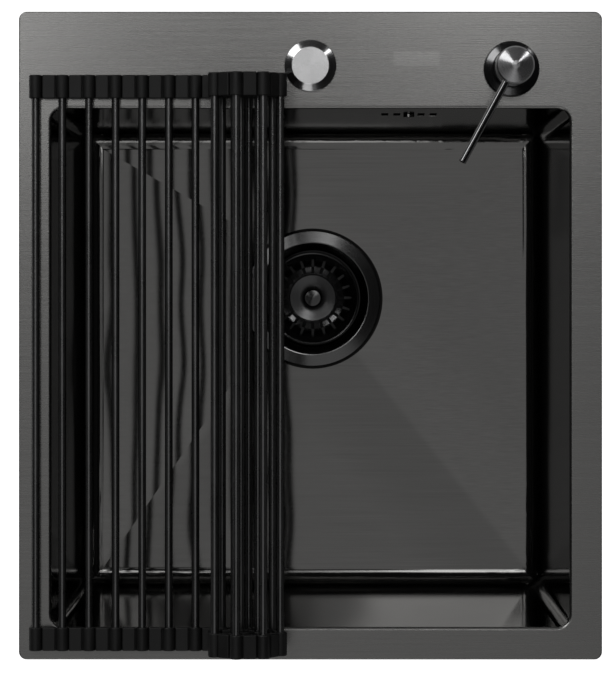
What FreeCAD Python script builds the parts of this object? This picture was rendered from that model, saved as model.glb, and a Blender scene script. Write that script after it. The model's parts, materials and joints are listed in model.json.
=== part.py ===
import FreeCAD
import Part
import Sketcher
import math
import os

# Inset kitchen sink with a square bowl, basket strainer, overflow, soap dispenser,
# tap-hole cover and a roll-up drying mat.
# Frame: origin at the middle of the deck on the worktop plane, +X right, +Y to the back, +Z up.

Vector = FreeCAD.Vector
doc = FreeCAD.newDocument("kitchen_sink")
sheet = doc.addObject("Spreadsheet::Sheet", "dims")

# Driving dimensions in millimetres
sizes = {
    "deck_width": 450.0,
    "deck_depth": 500.0,
    "deck_plate": 3.0,
    "deck_corner": 6.0,
    "seal_height": 2.0,
    "side_margin": 25.0,
    "front_margin": 25.0,
    "back_margin": 75.0,
    "bowl_depth": 200.0,
    "bowl_wall": 1.2,
    "bowl_corner": 10.0,
    "bowl_taper": 12.0,
    "bowl_bend": 13.0,
    "pad_thickness": 2.0,
    "lip_bend": 2.5,
    "floor_fall": 4.0,
    "drain_setback": 150.0,
    "recess_radius": 59.0,
    "recess_drop": 3.0,
    "flange_radius": 57.0,
    "throat_radius": 46.5,
    "cup_radius": 42.0,
    "cup_drop": 42.0,
    "basket_radius": 39.0,
    "basket_drop": 28.5,
    "disc_radius": 20.0,
    "slot_width": 2.5,
    "slot_count": 20.0,
    "outlet_radius": 23.9,
    "overflow_setback": 148.0,
    "overflow_drop": 45.0,
    "overflow_pitch": 9.5,
    "overflow_slot": 5.5,
    "overflow_length": 22.0,
    "overflow_half_width": 32.0,
    "overflow_half_height": 20.0,
    "overflow_wall": 6.0,
    "pipe_radius": 11.0,
    "cover_setback": 41.8,
    "tap_hole_radius": 17.5,
    "cover_radius": 20.0,
    "cover_height": 5.5,
    "soap_setback": 70.0,
    "soap_back_setback": 44.4,
    "soap_hole_radius": 15.0,
    "soap_flange_radius": 21.5,
    "soap_neck_radius": 15.25,
    "head_radius": 14.3,
    "head_rise": 33.5,
    "bottle_radius": 27.0,
    "pump_depth": 30.0,
    "stem_foot": 12.0,
    "spring_radius": 6.2,
    "spring_wire": 1.2,
    "spring_pitch": 6.8,
    "spout_radius": 2.75,
    "spout_reach": 74.0,
    "mat_setback": 13.5,
    "mat_pitch": 20.5,
    "mat_roll_space": 47.0,
    "mat_front_gap": 7.7,
    "mat_back_gap": 49.3,
    "strip_width": 18.0,
    "tube_radius": 3.0,
    "tube_wall": 0.6,
    "lobe_radius": 5.0,
    "block_length": 10.0,
    "block_height": 6.0,
}
for row, (alias, value) in enumerate(sizes.items(), start=1):
    sheet.set("A%d" % row, alias)
    sheet.set("B%d" % row, "%g" % value)
    sheet.setAlias("B%d" % row, alias)
doc.recompute()

# Edges of the bowl, and where the fittings stand, all measured in from the deck's edges
LEFT, RIGHT = "- 0.5*deck_width + side_margin", "0.5*deck_width - side_margin"
FRONT, BACK = "- 0.5*deck_depth + front_margin", "0.5*deck_depth - back_margin"
BOWL_MID_Y = "0.5*front_margin - 0.5*back_margin"
DRAIN_Y = BACK + " - drain_setback"
COVER_Y = "0.5*deck_depth - cover_setback"
SOAP_X = "0.5*deck_width - soap_setback"
SOAP_Y = "0.5*deck_depth - soap_back_setback"
OVERFLOW_X = "0.5*deck_width - overflow_setback"
MAT_FIRST_X = "- 0.5*deck_width + mat_setback"
MAT_FRONT = "- 0.5*deck_depth + mat_front_gap"
MAT_LENGTH = "deck_depth - mat_front_gap - mat_back_gap"

# Levels measured from the worktop plane
DECK_TOP = "seal_height + deck_plate"
FLOOR = "seal_height + deck_plate - bowl_depth"
RECESS = FLOOR + " - floor_fall - recess_drop"


# Formulas are sums of signed terms, each term a product of size names and numbers
def number(formula):
    total = 0.0
    sign = 1.0
    for word in formula.split():
        if word in "+-":
            sign = 1.0 if word == "+" else -1.0
            continue
        value = sign
        for factor in word.split("*"):
            value *= sizes[factor] if factor in sizes else float(factor)
        total += value
    return total


def cells(formula):
    words = []
    for word in formula.split():
        factors = ["dims." + f if f in sizes else f for f in word.split("*")]
        words.append(" * ".join(factors))
    return " ".join(words)


def bind(thing, prop, formula):
    thing.setExpression(prop, cells(formula))


def place(thing, x="0", y="0", z="0", turn=None):
    if turn is not None:
        thing.Placement = FreeCAD.Placement(Vector(0, 0, 0), turn)
    for axis, formula in zip("xyz", (x, y, z)):
        if formula != "0":
            bind(thing, "Placement.Base." + axis, formula)
    return thing


def about(axis, degrees):
    return FreeCAD.Rotation(Vector(*axis), degrees)


# Sketches whose corners are held by formulas
def new_sketch(body, role, name):
    plane = [f for f in body.Origin.OriginFeatures if f.Role == role][0]
    sketch = body.newObject("Sketcher::SketchObject", name)
    sketch.AttachmentSupport = (plane, [""])
    sketch.MapMode = "FlatFace"
    return sketch


def hold(sketch, geometry, point, x, y):
    for kind, formula, axis in (("DistanceX", x, -2), ("DistanceY", y, -1)):
        if formula == "0":
            sketch.addConstraint(Sketcher.Constraint("PointOnObject", geometry, point, axis))
            continue
        held = Sketcher.Constraint(kind, -1, 1, geometry, point, number(formula))
        index = sketch.addConstraint(held)
        bind(sketch, "Constraints[%d]" % index, formula)


def outline(sketch, corners):
    points = [Vector(number(a), number(b), 0) for a, b in corners]
    count = len(points)
    first = sketch.GeometryCount
    for i in range(count):
        sketch.addGeometry(Part.LineSegment(points[i], points[(i + 1) % count]))
    for i in range(count):
        follow = first + (i + 1) % count
        sketch.addConstraint(Sketcher.Constraint("Coincident", first + i, 2, follow, 1))
    for i, (a, b) in enumerate(corners):
        hold(sketch, first + i, 1, a, b)


def circle(sketch, x, y, radius):
    middle = Vector(number(x), number(y), 0)
    index = sketch.addGeometry(Part.Circle(middle, Vector(0, 0, 1), number(radius)))
    hold(sketch, index, 3, x, y)
    size = sketch.addConstraint(Sketcher.Constraint("Radius", index, number(radius)))
    bind(sketch, "Constraints[%d]" % size, radius)


# Solid forms
def new_body(label):
    body = doc.addObject("PartDesign::Body", label)
    body.Label = label
    return body


def turned(label, profile, x="0", y="0", z="0"):
    body = new_body(label)
    sketch = new_sketch(body, "XZ_Plane", label + "_profile")
    outline(sketch, profile)
    turn = body.newObject("PartDesign::Revolution", label + "_turn")
    turn.Profile = sketch
    turn.ReferenceAxis = (sketch, ["V_Axis"])
    turn.Angle = 360
    place(body, x, y, z)
    return body


def slab(label, left, right, front, back, height, z="0", lean=None):
    body = new_body(label)
    sketch = new_sketch(body, "XY_Plane", label + "_outline")
    outline(sketch, [(left, front), (right, front), (right, back), (left, back)])
    pad = body.newObject("PartDesign::Pad", label + "_pad")
    pad.Profile = sketch
    bind(pad, "Length", height)
    if lean is not None:
        pad.setExpression("TaperAngle", lean)
    place(body, z=z)
    return body


def cut_through(body, sketch, name):
    pocket = body.newObject("PartDesign::Pocket", name)
    pocket.Profile = sketch
    pocket.Type = "ThroughAll"
    pocket.Midplane = True
    return pocket


def round_edges(body, name, radius, wanted):
    doc.recompute()
    base = body.Tip
    edges = base.Shape.Edges
    chosen = ["Edge%d" % (i + 1) for i, edge in enumerate(edges) if wanted(edge)]
    fillet = body.newObject("PartDesign::Fillet", name)
    fillet.Base = (base, chosen)
    bind(fillet, "Radius", radius)
    return fillet


def upright(edge):
    box = edge.BoundBox
    return box.XLength < 1e-6 and box.YLength < 1e-6


def rising(edge):
    return edge.BoundBox.ZLength > 1.0


def level_at(height):
    def test(edge):
        box = edge.BoundBox
        return abs(box.ZMin - height) < 1e-6 and abs(box.ZMax - height) < 1e-6
    return test


def ring_at(radius, height):
    def test(edge):
        box = edge.BoundBox
        return abs(box.XMax - number(radius)) < 1e-4 and level_at(number(height))(edge)
    return test


def box(name, x, y, z, length, width, height):
    block = doc.addObject("Part::Box", name)
    for prop, formula in zip(("Length", "Width", "Height"), (length, width, height)):
        bind(block, prop, formula)
    return place(block, x, y, z)


def rod(name, radius, length, x="0", y="0", z="0", turn=None):
    piece = doc.addObject("Part::Cylinder", name)
    bind(piece, "Radius", radius)
    bind(piece, "Height", length)
    return place(piece, x, y, z, turn)


def joined(name, shapes):
    fuse = doc.addObject("Part::MultiFuse", name)
    fuse.Shapes = shapes
    return fuse


def less(name, base, tools):
    cut = doc.addObject("Part::Cut", name)
    cut.Base = base
    cut.Tool = tools[0] if len(tools) == 1 else joined(name + "_tools", tools)
    cut.Label = name
    return cut


def common(name, base, tool):
    shared = doc.addObject("Part::Common", name)
    shared.Base = base
    shared.Tool = tool
    shared.Label = name
    return shared


def group(name, shapes):
    compound = doc.addObject("Part::Compound", name)
    compound.Links = shapes
    compound.Label = name
    return compound


nodes = []
ALONG_Y = about((1, 0, 0), -90)

# Deck plate with the bowl opening and the two fitting holes
deck = slab(
    "sink_deck", "- 0.5*deck_width", "0.5*deck_width", "- 0.5*deck_depth", "0.5*deck_depth",
    "deck_plate", "seal_height")
round_edges(deck, "deck_corners", "deck_corner", upright)
opening = new_sketch(deck, "XY_Plane", "opening_outline")
outline(opening, [(LEFT, FRONT), (RIGHT, FRONT), (RIGHT, BACK), (LEFT, BACK)])
cut_through(deck, opening, "opening_cut")
half_width = number(RIGHT)
round_edges(
    deck, "opening_corners", "bowl_corner",
    lambda e: upright(e) and abs(abs(e.BoundBox.XMin) - half_width) < 1e-6)
fitting_holes = new_sketch(deck, "XY_Plane", "fitting_holes")
circle(fitting_holes, "0", COVER_Y, "tap_hole_radius")
circle(fitting_holes, SOAP_X, SOAP_Y, "soap_hole_radius")
cut_through(deck, fitting_holes, "fitting_cut")
top = level_at(sizes["deck_plate"])
deck_edge = sizes["deck_width"] / 2 - sizes["deck_corner"] - 1
inside = sizes["deck_depth"] / 2 - sizes["deck_corner"] - 1


def on_opening(edge):
    near = edge.CenterOfMass
    front_y = number(FRONT) - 1
    back_y = number(BACK) + 1
    return top(edge) and abs(near.x) < half_width + 1 and front_y < near.y < back_y


def on_rim(edge):
    near = edge.CenterOfMass
    return top(edge) and (abs(near.x) > deck_edge or abs(near.y) > inside)


round_edges(deck, "opening_lip", "lip_bend", on_opening)
round_edges(deck, "rim_edge", "0.3*deck_plate", on_rim)
nodes.append(deck)


# Bowl: a bent tray whose walls lean out towards the deck, with a floor that falls to the drain
WALL_LEAN = "atan(dims.bowl_taper / (dims.bowl_depth - dims.deck_plate))"


def bowl_form(name, layers):
    outward = "".join(" - " + layer for layer in layers)
    inward = "".join(" + " + layer for layer in layers)
    sides = (
        LEFT + " + bowl_taper" + outward, RIGHT + " - bowl_taper" + inward,
        FRONT + " + bowl_taper" + outward, BACK + " - bowl_taper" + inward)
    depth = "bowl_depth - deck_plate" + inward
    prism = slab(name + "_prism", *sides, depth, FLOOR + outward, WALL_LEAN)
    round_edges(prism, name + "_corners", "bowl_corner" + inward, rising)
    tray = slab(name + "_tray", *sides, depth, FLOOR + outward, WALL_LEAN)
    round_edges(tray, name + "_bends", "bowl_bend" + inward, level_at(0.0))
    return common(name, prism, tray)


def floor_fall(name, drop):
    fall = doc.addObject("Part::Wedge", name)
    ends = {
        "Xmin": LEFT + " + bowl_taper + bowl_bend", "Xmax": RIGHT + " - bowl_taper - bowl_bend",
        "Zmin": "- deck_depth + front_margin + back_margin + drain_setback + bowl_taper + bowl_bend",
        "Zmax": "drain_setback - bowl_taper - bowl_bend",
        "X2min": "- recess_radius", "X2max": "recess_radius",
        "Z2min": "- recess_radius", "Z2max": "recess_radius",
        "Ymin": "0", "Ymax": "floor_fall",
    }
    for prop, formula in ends.items():
        bind(fall, prop, formula)
    return place(fall, y=DRAIN_Y, z=FLOOR + " - " + drop, turn=about((1, 0, 0), -90))


bowl_outer = bowl_form("bowl_outside", ["bowl_wall"])
bowl_inner = bowl_form("bowl_inside", [])
fall_outer = floor_fall("fall_outside", "bowl_wall")
fall_inner = floor_fall("fall_inside", "0*bowl_wall")
press_outer = rod(
    "recess_outside", "recess_radius + bowl_wall", "floor_fall + recess_drop",
    y=DRAIN_Y, z=RECESS + " - bowl_wall")
press_inner = rod(
    "recess_inside", "recess_radius", "floor_fall + recess_drop + 1", y=DRAIN_Y, z=RECESS)
drain_hole = rod("drain_hole", "throat_radius + 1.5", "20", y=DRAIN_Y, z=RECESS + " - 10")
slots = []
for k in range(-2, 3):
    slot = box(
        "overflow_slot_%d" % (k + 3), OVERFLOW_X + " + %d*overflow_pitch - 0.5*overflow_slot" % k,
        BACK + " - bowl_taper", DECK_TOP + " - overflow_drop - 0.5*overflow_length",
        "overflow_slot", "bowl_taper + 3", "overflow_length")
    slots.append(slot)
bowl_skin = joined("bowl_skin", [bowl_outer, fall_outer, press_outer])
bowl_room = joined("bowl_room", [bowl_inner, fall_inner, press_inner])
bowl = less("sink_bowl", bowl_skin, [bowl_room, drain_hole] + slots)
nodes.append(bowl)

# Sound-deadening pads on three outside walls
pad_skin = less("pad_skin", bowl_form("pad_outside", ["bowl_wall", "pad_thickness"]), [bowl_outer])
pads = []
for side, x in (("left", LEFT + " - 10"), ("right", RIGHT + " - bowl_taper")):
    reach = box(
        "pad_reach_" + side, x, BOWL_MID_Y + " - 0.16*deck_depth", FLOOR + " + 0.2*bowl_depth",
        "bowl_taper + 10", "0.32*deck_depth", "0.5*bowl_depth")
    pads.append(common("pad_" + side, pad_skin, reach))
reach = box(
    "pad_reach_front", "- 0.18*deck_width", FRONT + " - 10", FLOOR + " + 0.2*bowl_depth",
    "0.36*deck_width", "bowl_taper + 10", "0.5*bowl_depth")
pads.append(common("pad_front", pad_skin, reach))
nodes.append(group("sound_pads", pads))

# Foam seal between the deck rim and the worktop
seal = slab(
    "rim_seal", "- 0.5*deck_width + 1", "0.5*deck_width - 1", "- 0.5*deck_depth + 1",
    "0.5*deck_depth - 1", "seal_height")
round_edges(seal, "seal_corners", "deck_corner - 1", upright)
seal_inside = new_sketch(seal, "XY_Plane", "seal_inside")
outline(seal_inside, [
    ("- 0.5*deck_width + 9", "- 0.5*deck_depth + 9"), ("0.5*deck_width - 9", "- 0.5*deck_depth + 9"),
    ("0.5*deck_width - 9", "0.5*deck_depth - 9"), ("- 0.5*deck_width + 9", "0.5*deck_depth - 9")])
cut_through(seal, seal_inside, "seal_cut")
nodes.append(seal)

# Worktop clips on both side walls, each with a clamping screw
CLIP_PLACES = (BOWL_MID_Y + " - 0.26*deck_depth", BOWL_MID_Y + " + 0.26*deck_depth")
clips = []
clip_screws = []
for side, sign in (("left", -1), ("right", 1)):
    for number_along, along in enumerate(CLIP_PLACES, start=1):
        name = "%s_%d" % (side, number_along)
        wall = RIGHT + " + bowl_wall" if sign > 0 else LEFT + " - bowl_wall"
        plate_x = wall + " - bowl_taper" if sign > 0 else wall + " - 2"
        arm_x = wall + " - bowl_taper" if sign > 0 else wall + " - 20"
        screw_x = wall + " + 14" if sign > 0 else wall + " - 14"
        plate = box("clip_plate_" + name, plate_x, along + " - 10", "- 48", "bowl_taper + 2", "20", "36")
        arm = box("clip_arm_" + name, arm_x, along + " - 10", "- 48", "bowl_taper + 20", "20", "2")
        bore = rod("clip_bore_" + name, "3", "6", screw_x, along, "- 50")
        clips.append(less("clip_" + name, joined("clip_bent_" + name, [plate, arm]), [bore, bowl_outer]))
        stem = rod("clip_stem_" + name, "3", "24", screw_x, along, "- 54")
        grip = rod("clip_grip_" + name, "5.5", "5", screw_x, along, "- 55")
        clip_screws.append(joined("clip_screw_" + name, [stem, grip]))
nodes.append(group("rim_clips", clips))
nodes.append(group("clip_screws", clip_screws))

# Basket strainer: heights measured from the bottom of the pressed recess
flange_gasket = turned(
    "flange_gasket",
    [("throat_radius + 2", "0"), ("flange_radius - 2", "0"), ("flange_radius - 2", "1"),
     ("throat_radius + 2", "1")],
    y=DRAIN_Y, z=RECESS)
nodes.append(flange_gasket)

cup = turned(
    "strainer_cup",
    [("3", "- cup_drop - 1.2"), ("cup_radius - 1", "- cup_drop - 1.2"),
     ("cup_radius + 1.2", "- cup_drop + 1"), ("cup_radius + 1.2", "- 6"),
     ("throat_radius + 1.2", "- 2"), ("throat_radius + 1.2", "1"), ("flange_radius", "1"),
     ("flange_radius", "1.3"), ("flange_radius - 0.6", "1.7"), ("throat_radius + 1", "3.3"),
     ("throat_radius + 0.3", "3.2"), ("throat_radius", "2.8"), ("cup_radius", "- 4.4"),
     ("cup_radius", "- cup_drop + 1.5"),
     ("cup_radius - 1.5", "- cup_drop"),
     ("3", "- cup_drop")],
    y=DRAIN_Y, z=RECESS)
ports = new_sketch(cup, "XY_Plane", "strainer_port")
circle(ports, "17", "0", "4.5")
port_cut = cut_through(cup, ports, "strainer_port_cut")
port_ring = cup.newObject("PartDesign::PolarPattern", "strainer_ports")
port_ring.Originals = [port_cut]
port_ring.Axis = (ports, ["N_Axis"])
port_ring.Angle = 360
port_ring.Occurrences = 8
cup.Tip = port_ring
nodes.append(cup)

lower_gasket = turned(
    "lower_gasket",
    [("throat_radius + 2", "- bowl_wall - 3"), ("flange_radius", "- bowl_wall - 3"),
     ("flange_radius", "- bowl_wall"), ("throat_radius + 2", "- bowl_wall")],
    y=DRAIN_Y, z=RECESS)
nodes.append(lower_gasket)

outlet_wall = turned(
    "outlet_wall",
    [("outlet_radius - 3.5", "- cup_drop - 48"), ("outlet_radius", "- cup_drop - 48"),
     ("outlet_radius", "- cup_drop - 20"), ("throat_radius + 3", "- cup_drop - 8"),
     ("throat_radius + 3", "- bowl_wall - 7"), ("flange_radius + 1", "- bowl_wall - 7"),
     ("flange_radius + 1", "- bowl_wall - 3"), ("throat_radius", "- bowl_wall - 3"),
     ("throat_radius", "- cup_drop - 6.5"), ("outlet_radius - 3.5", "- cup_drop - 18")],
    y=DRAIN_Y, z=RECESS)
boss = rod("outlet_boss", "6", "26", y=DRAIN_Y, z=RECESS + " - cup_drop - 27.2")
spokes = []
for k in range(3):
    spoke = doc.addObject("Part::Box", "outlet_spoke_%d" % (k + 1))
    bind(spoke, "Length", "outlet_radius - 1")
    spoke.Width = 3
    spoke.Height = 8
    place(spoke, y=DRAIN_Y, z=RECESS + " - cup_drop - 27.2", turn=about((0, 0, 1), 120 * k + 30))
    spokes.append(spoke)
pipe_side = number(OVERFLOW_X)
pipe_back = sizes["drain_setback"] + 15
pipe_run = math.hypot(pipe_side, pipe_back)
PIPE_LEVEL = RECESS + " - 24"
pipe_heading = math.degrees(math.atan2(pipe_back, pipe_side))
inlet_turn = about((0, 0, 1), pipe_heading) * about((0, 1, 0), 90)
inlet = rod("inlet_wall", "pipe_radius", "throat_radius + 19", y=DRAIN_Y, z=PIPE_LEVEL, turn=inlet_turn)
inlet_bore = rod(
    "inlet_bore", "pipe_radius - 1.5", "throat_radius + 19", y=DRAIN_Y, z=PIPE_LEVEL, turn=inlet_turn)
inlet_trim = rod("inlet_trim", "throat_radius", "40", y=DRAIN_Y, z=PIPE_LEVEL + " - 15")
inlet_spigot = less("inlet_spigot", inlet, [inlet_trim])
boss_bore = rod("boss_bore", "3", "40", y=DRAIN_Y, z=RECESS + " - cup_drop - 24")
outlet = less(
    "outlet_body", joined("outlet_moulding", [outlet_wall, boss, inlet_spigot] + spokes),
    [inlet_bore, boss_bore])
nodes.append(outlet)

clamp_screw = turned(
    "clamp_screw",
    [("0", "- 22"), ("2.2", "- 22"), ("3", "- 21"), ("3", "0"), ("6", "0"), ("6", "1.8"),
     ("5", "2.8"), ("0", "2.8")],
    y=DRAIN_Y, z=RECESS + " - cup_drop")
nodes.append(clamp_screw)

BASKET = RECESS + " - cup_drop + 5.5 + basket_drop"
basket = turned(
    "basket",
    [("0", "- basket_drop + 2.6"), ("disc_radius - 1.2", "- basket_drop + 2.6"),
     ("disc_radius - 0.6", "- basket_drop"), ("disc_radius + 1", "- basket_drop"),
     ("disc_radius + 9", "- basket_drop + 3"), ("basket_radius - 1.8", "- 2.2"),
     ("basket_radius", "- 1.4"), ("basket_radius", "- 0.4"), ("basket_radius - 0.6", "0"),
     ("basket_radius - 1.6", "- 0.3"), ("basket_radius - 2.8", "- 1.9"),
     ("disc_radius + 8.2", "- basket_drop + 3.8"), ("disc_radius + 0.6", "- basket_drop + 1"),
     ("disc_radius", "- basket_drop + 4.6"), ("disc_radius - 0.8", "- basket_drop + 5.2"),
     ("6", "- basket_drop + 3.3"), ("0", "- basket_drop + 3.3")],
    y=DRAIN_Y, z=BASKET)
round_edges(basket, "basket_inner_bend", "5", ring_at("disc_radius + 8.2", "- basket_drop + 3.8"))
round_edges(basket, "basket_outer_bend", "6", ring_at("disc_radius + 9", "- basket_drop + 3"))
slot_sketch = new_sketch(basket, "XY_Plane", "basket_slot")
outline(slot_sketch, [
    ("disc_radius + 1.2", "- 0.5*slot_width"), ("basket_radius - 6", "- 0.5*slot_width"),
    ("basket_radius - 6", "0.5*slot_width"), ("disc_radius + 1.2", "0.5*slot_width")])
slot_cut = cut_through(basket, slot_sketch, "basket_slot_cut")
slot_ring = basket.newObject("PartDesign::PolarPattern", "basket_slots")
slot_ring.Originals = [slot_cut]
slot_ring.Axis = (slot_sketch, ["N_Axis"])
slot_ring.Angle = 360
bind(slot_ring, "Occurrences", "slot_count")
basket.Tip = slot_ring
nodes.append(basket)

stopper = turned(
    "basket_stopper",
    [("8", "0.3"), ("24", "0.3"), ("26.5", "1.5"), ("26.5", "3.5"), ("disc_radius", "5.5"),
     ("disc_radius - 0.6", "5.5"), ("disc_radius - 1.2", "8.1"), ("0", "8.1"), ("0", "6"), ("8", "6")],
    y=DRAIN_Y, z=RECESS + " - cup_drop")
nodes.append(stopper)

knob = turned(
    "basket_knob",
    [("0", "0"), ("4", "0"), ("3.2", "7"), ("7", "9"), ("7.75", "10.5"), ("7.75", "14"),
     ("6.6", "15.4"), ("0", "15.8")],
    y=DRAIN_Y, z=BASKET + " - basket_drop + 3.3")
nodes.append(knob)

# Overflow behind the back wall, piped down to the outlet body
OVERFLOW = DECK_TOP + " - overflow_drop"
WALL_BACK = BACK + " + bowl_wall"


def overflow_plate(name, margin, y, depth):
    left = OVERFLOW_X + " - overflow_half_width + " + margin
    bottom = OVERFLOW + " - overflow_half_height + " + margin
    width = "2*overflow_half_width - 2*" + margin
    height = "2*overflow_half_height - 2*" + margin
    return box(name, left, y, bottom, width, depth, height)


wall_share = number("overflow_drop - deck_plate") / number("bowl_depth - deck_plate")
WALL_FACE = BACK + " - %.6f*bowl_taper" % wall_share
gasket_pad = overflow_plate(
    "overflow_gasket_pad", "0", BACK + " - bowl_taper", "bowl_taper + bowl_wall + 2")
gasket_hole = overflow_plate(
    "overflow_gasket_hole", "overflow_wall", BACK + " - bowl_taper", "bowl_taper + bowl_wall + 3")
nodes.append(less("overflow_gasket", gasket_pad, [gasket_hole, bowl_outer]))
shell = overflow_plate("overflow_shell", "0", WALL_BACK + " + 2", "24")
chamber = overflow_plate("overflow_chamber", "overflow_wall", WALL_BACK + " + 1", "23")
PIPE_X, PIPE_Y = OVERFLOW_X, BACK + " + 15"
nozzle = rod("overflow_nozzle", "pipe_radius", "20", PIPE_X, PIPE_Y, OVERFLOW + " - 34")
nozzle_bore = rod("overflow_nozzle_bore", "pipe_radius - 1.5", "22", PIPE_X, PIPE_Y, OVERFLOW + " - 35")
screw_post = rod(
    "overflow_post", "4.5", "24", OVERFLOW_X, WALL_BACK + " + 2", OVERFLOW, ALONG_Y)
post_bore = rod(
    "overflow_post_bore", "2", "14", OVERFLOW_X, WALL_BACK + " + 1", OVERFLOW, ALONG_Y)
hollow = less("overflow_hollow", shell, [chamber])
nodes.append(less(
    "overflow_housing", joined("overflow_moulding", [hollow, nozzle, screw_post]),
    [nozzle_bore, post_bore]))
screw_end = rod("overflow_screw_end", "4.3", "8", OVERFLOW_X, WALL_FACE + " - 1.8", OVERFLOW, ALONG_Y)
overflow_screw = joined("overflow_screw", [
    common("overflow_screw_head", screw_end, bowl_inner),
    rod("overflow_screw_stem", "2", "%.6f*bowl_taper + 16" % wall_share, OVERFLOW_X, WALL_FACE + " - 0.5",
        OVERFLOW, ALONG_Y)])
overflow_screw.Label = "overflow_screw"
nodes.append(overflow_screw)

pipe = new_body("overflow_pipe")
path = new_sketch(pipe, "XZ_Plane", "pipe_path")
bend = 25.0
drop = number(OVERFLOW + " - 34") - number(PIPE_LEVEL)
run = pipe_run - sizes["throat_radius"] - 19
path.addGeometry(Part.LineSegment(Vector(0, 0, 0), Vector(0, -drop + bend, 0)))
path.addGeometry(Part.ArcOfCircle(
    Part.Circle(Vector(bend, -drop + bend, 0), Vector(0, 0, 1), bend), math.pi, 1.5 * math.pi))
path.addGeometry(Part.LineSegment(Vector(bend, -drop, 0), Vector(run, -drop, 0)))
ring = new_sketch(pipe, "XY_Plane", "pipe_ring")
circle(ring, "0", "0", "pipe_radius")
circle(ring, "0", "0", "pipe_radius - 1.5")
sweep = pipe.newObject("PartDesign::AdditivePipe", "pipe_sweep")
sweep.Profile = ring
sweep.Spine = (path, ["Edge1", "Edge2", "Edge3"])
place(pipe, PIPE_X, PIPE_Y, OVERFLOW + " - 34", about((0, 0, 1), pipe_heading + 180))
nodes.append(pipe)

# Cover over the unused tap hole, clamped from below by a stud and wing nut
nodes.append(turned(
    "cover_gasket",
    [("tap_hole_radius - 1", "0"), ("cover_radius - 1", "0"), ("cover_radius - 1", "0.8"),
     ("tap_hole_radius - 1", "0.8")],
    y=COVER_Y, z=DECK_TOP))
nodes.append(turned(
    "tap_hole_cover",
    [("4", "0.8"), ("cover_radius - 0.3", "0.8"), ("cover_radius", "1.1"), ("cover_radius", "2.4"),
     ("cover_radius - 0.4", "2.8"), ("cover_radius - 5.4", "cover_height - 0.2"),
     ("cover_radius - 5.8", "cover_height"), ("0", "cover_height"), ("0", "cover_height - 2"),
     ("4", "cover_height - 2")],
    y=COVER_Y, z=DECK_TOP))
nodes.append(turned(
    "cover_stud",
    [("0", "- 45"), ("3.4", "- 45"), ("4", "- 44.2"), ("4", "cover_height - 2"), ("0", "cover_height - 2")],
    y=COVER_Y, z=DECK_TOP))
nodes.append(turned(
    "cover_washer",
    [("4", "- 2.5"), ("tap_hole_radius + 6", "- 2.5"), ("tap_hole_radius + 6", "0"), ("4", "0")],
    y=COVER_Y, z="seal_height"))
hub = turned(
    "wing_hub",
    [("4", "- 10.5"), ("6", "- 10.5"), ("7.5", "- 2.5"), ("4", "- 2.5")], y=COVER_Y, z="seal_height")
wings = box("wing_pair", "- 15", COVER_Y + " - 1.2", "seal_height - 14.5", "30", "2.4", "11")
wing_bore = rod("wing_bore", "4", "20", y=COVER_Y, z="seal_height - 18")
nodes.append(less("cover_wing_nut", joined("wing_blank", [hub, wings]), [wing_bore]))


# Soap dispenser: heights measured from the top of the deck
def soap_turned(label, profile):
    return turned(label, profile, SOAP_X, SOAP_Y, DECK_TOP)


SHANK = "soap_hole_radius - 1.1"
nodes.append(soap_turned("collar_gasket", [
    (SHANK, "0"), ("soap_flange_radius - 1", "0"), ("soap_flange_radius - 1", "1"), (SHANK, "1")]))
nodes.append(soap_turned("dispenser_collar", [
    ("11", "- 37"), (SHANK, "- 37"), (SHANK, "1"), ("soap_flange_radius", "1"),
    ("soap_flange_radius", "3.2"), ("soap_flange_radius - 1.2", "4.6"),
    ("soap_neck_radius", "5.2"), ("soap_neck_radius", "20"), ("soap_neck_radius - 0.9", "21"),
    ("11", "21")]))
nodes.append(soap_turned("shank_washer", [
    (SHANK, "- deck_plate - 3.5"), ("soap_hole_radius + 8", "- deck_plate - 3.5"),
    ("soap_hole_radius + 8", "- deck_plate"), (SHANK, "- deck_plate")]))
nut_blank = doc.addObject("Part::Prism", "shank_nut_blank")
nut_blank.Polygon = 6
bind(nut_blank, "Circumradius", "soap_hole_radius + 7")
nut_blank.Height = 8
place(nut_blank, SOAP_X, SOAP_Y, DECK_TOP + " - deck_plate - 11.5")
nut_bore = rod("shank_nut_bore", SHANK, "12", SOAP_X, SOAP_Y, DECK_TOP + " - deck_plate - 13")
nodes.append(less("shank_nut", nut_blank, [nut_bore]))
nodes.append(soap_turned("soap_bottle", [
    ("0", "- 170"), ("bottle_radius - 4", "- 170"), ("bottle_radius", "- 166"),
    ("bottle_radius", "- 48"), ("soap_hole_radius + 2", "- 40"), ("soap_hole_radius + 2", "- 17"),
    (SHANK, "- 17"), (SHANK, "- 39"), ("bottle_radius - 1.5", "- 49"),
    ("bottle_radius - 1.5", "- 165.5"), ("bottle_radius - 4.5", "- 168.5"), ("0", "- 168.5")]))
nodes.append(soap_turned("pump_body", [
    ("3", "- pump_depth - 6"), ("8.5", "- pump_depth - 6"), ("11", "- pump_depth - 3"), ("11", "21"),
    ("13.4", "21"), ("13.4", "22.6"), ("5.05", "22.6"), ("5.05", "19"), ("8", "19"), ("8", "- pump_depth"),
    ("3", "- pump_depth")]))
nodes.append(soap_turned("dip_tube", [
    ("2.1", "- 160"), ("3", "- 160"), ("3", "- pump_depth"), ("2.1", "- pump_depth")]))
nodes.append(soap_turned("pump_stem", [
    ("2", "stem_foot"), ("7.9", "stem_foot"), ("7.9", "18.7"), ("5", "18.7"), ("5", "head_rise + 7.7"),
    ("2", "head_rise + 7.7")]))

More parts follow.
